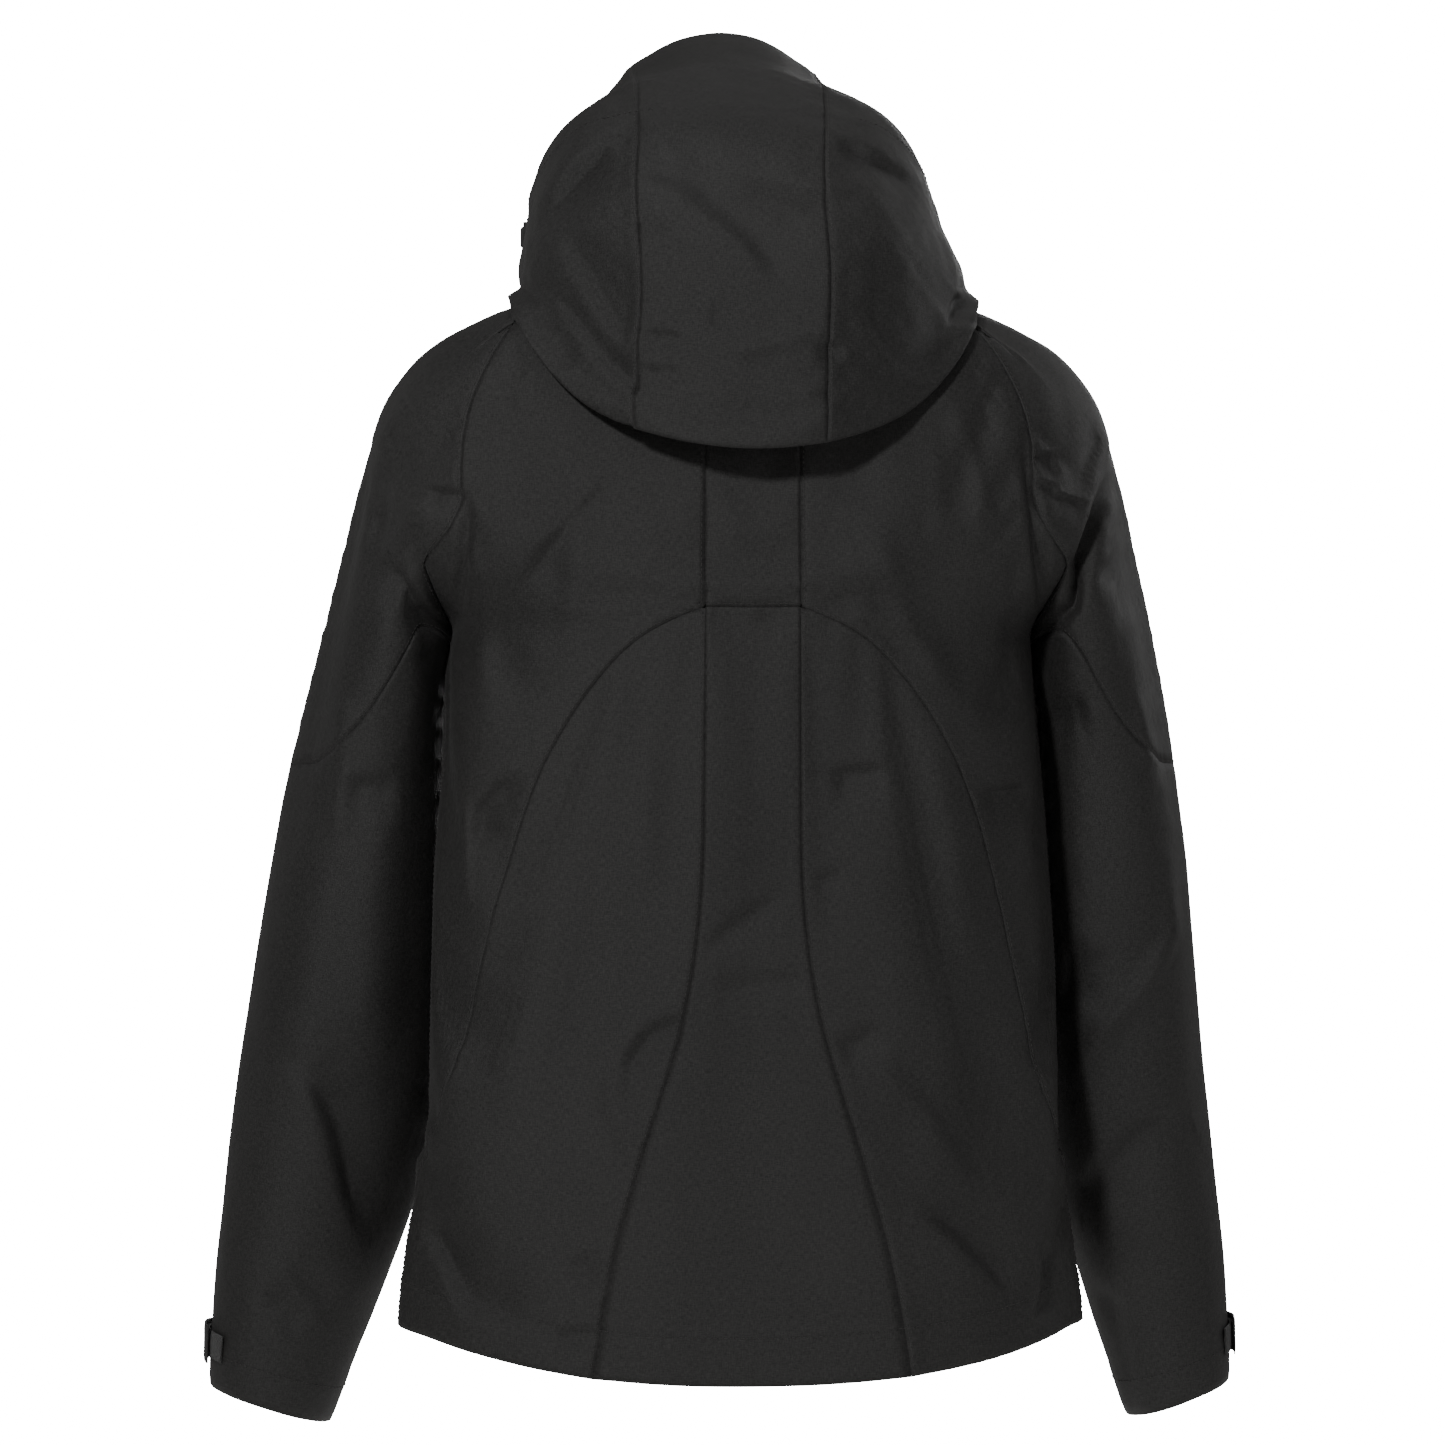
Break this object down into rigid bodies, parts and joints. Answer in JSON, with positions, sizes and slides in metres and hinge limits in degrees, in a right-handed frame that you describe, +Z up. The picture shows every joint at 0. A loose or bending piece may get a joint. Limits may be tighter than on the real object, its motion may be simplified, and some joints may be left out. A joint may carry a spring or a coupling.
{
  "type": "hardshell jacket",
  "caption": "Hooded hardshell jacket in its worn shape: sewn shell panels, swinging sleeves, tipping hood, full front zip, zipped hand pockets and cuff tabs.",
  "frame": {"origin": "the middle of the hang loop, inside the back of the collar", "axes": "+Z up, +Y the way the wearer faces, +X the wearer's right"},
  "size_m": [0.7213, 0.2976, 0.9599],
  "materials": {
    "shell": "matte woven face with a slight sheen",
    "facing": "matte",
    "tape": "coarse woven tape",
    "teeth": "satin",
    "metal": "satin",
    "rubber": "matte",
    "hook_loop": "fuzzy",
    "plastic": "satin"
  },
  "bodies": {
    "jacket_body": {"back_upper_centre": "shell", "back_lower_centre": "shell", "back_upper_left": "shell", "back_upper_right": "shell", "back_lower_left": "shell", "back_lower_right": "shell", "front_left": "shell", "front_right": "shell", "shoulder_left": "shell", "shoulder_right": "shell", "collar": "shell", "hem_facing": "facing", "hang_loop": "tape", "zip_tape_left": "tape", "zip_tape_right": "tape", "zip_chain_left": "teeth", "zip_chain_right": "teeth", "zip_box": "teeth", "storm_flap": "facing", "pocket_tape_left": "tape", "pocket_tape_right": "tape", "pocket_chain_left": "teeth", "pocket_chain_right": "teeth", "pocket_bag_left": "facing", "pocket_bag_right": "facing"},
    "hood": {"hood_centre": "shell", "hood_left": "shell", "hood_right": "shell", "visor_facing": "facing", "visor_stiffener": "plastic", "cord_lock_left": "plastic", "cord_lock_right": "plastic"},
    "zip_slider": {"zip_slider": "metal"},
    "zip_pull": {"zip_pull": "rubber"},
    "sleeve_left": {"sleeve_upper_left": "shell", "sleeve_lower_left": "shell", "cuff_facing_left": "facing", "cuff_loop_left": "hook_loop"},
    "cuff_tab_left": {"cuff_tab_left": "shell", "cuff_hook_left": "hook_loop"},
    "pocket_slider_left": {"pocket_slider_left": "metal"},
    "pocket_pull_left": {"pocket_pull_left": "rubber"},
    "cord_lock_plunger_left": {"cord_lock_plunger_left": "rubber"},
    "sleeve_right": {"sleeve_upper_right": "shell", "sleeve_lower_right": "shell", "cuff_facing_right": "facing", "cuff_loop_right": "hook_loop"},
    "cuff_tab_right": {"cuff_tab_right": "shell", "cuff_hook_right": "hook_loop"},
    "pocket_slider_right": {"pocket_slider_right": "metal"},
    "pocket_pull_right": {"pocket_pull_right": "rubber"},
    "cord_lock_plunger_right": {"cord_lock_plunger_right": "rubber"}
  },
  "joints": [
    {"name": "sleeve_swing_left", "type": "hinge", "parent": "jacket_body", "child": "sleeve_left", "pos_m": [-0.252, 0.056, -0.138], "axis": [0, 1, 0], "range_deg": [0, 35]},
    {"name": "sleeve_swing_right", "type": "hinge", "parent": "jacket_body", "child": "sleeve_right", "pos_m": [0.252, 0.056, -0.138], "axis": [0, -1, 0], "range_deg": [0, 35]},
    {"name": "hood_tip", "type": "hinge", "parent": "jacket_body", "child": "hood", "pos_m": [0, -0.069, -0.11], "axis": [1, 0, 0], "range_deg": [0, 15]},
    {"name": "cuff_tab_peel_left", "type": "hinge", "parent": "sleeve_left", "child": "cuff_tab_left", "pos_m": [-0.32758, 0.19266, -0.75622], "axis": [-0.1535, 0.022, -0.9879], "range_deg": [0, 100]},
    {"name": "cuff_tab_peel_right", "type": "hinge", "parent": "sleeve_right", "child": "cuff_tab_right", "pos_m": [0.31931, 0.19263, -0.75621], "axis": [-0.1535, -0.022, 0.9879], "range_deg": [0, 100]},
    {"name": "zip_slide", "type": "slide", "parent": "jacket_body", "child": "zip_slider", "axis": [0, 0.0678, -0.9977], "range_m": [0, 0.709]},
    {"name": "zip_pull_swing", "type": "hinge", "parent": "zip_slider", "child": "zip_pull", "pos_m": [0, 0.14201, -0.00586], "axis": [1, 0, 0], "range_deg": [0, 150]},
    {"name": "pocket_slide_left", "type": "slide", "parent": "jacket_body", "child": "pocket_slider_left", "axis": [0, 0.0717, -0.9974], "range_m": [0, 0.155]},
    {"name": "pocket_pull_swing_left", "type": "hinge", "parent": "pocket_slider_left", "child": "pocket_pull_left", "pos_m": [-0.13182, 0.14888, -0.46642], "axis": [0.8985, 0.4379, 0.0315], "range_deg": [0, 150]},
    {"name": "cord_lock_press_left", "type": "slide", "parent": "hood", "child": "cord_lock_plunger_left", "axis": [0, 0, -1], "range_m": [0, 0.0025], "stiffness_N_per_m": 400},
    {"name": "pocket_slide_right", "type": "slide", "parent": "jacket_body", "child": "pocket_slider_right", "axis": [0, 0.0717, -0.9974], "range_m": [0, 0.155]},
    {"name": "pocket_pull_swing_right", "type": "hinge", "parent": "pocket_slider_right", "child": "pocket_pull_right", "pos_m": [0.13182, 0.14888, -0.46642], "axis": [0.8985, -0.4379, -0.0315], "range_deg": [0, 150]},
    {"name": "cord_lock_press_right", "type": "slide", "parent": "hood", "child": "cord_lock_plunger_right", "axis": [0, 0, -1], "range_m": [0, 0.0025], "stiffness_N_per_m": 400}
  ]
}
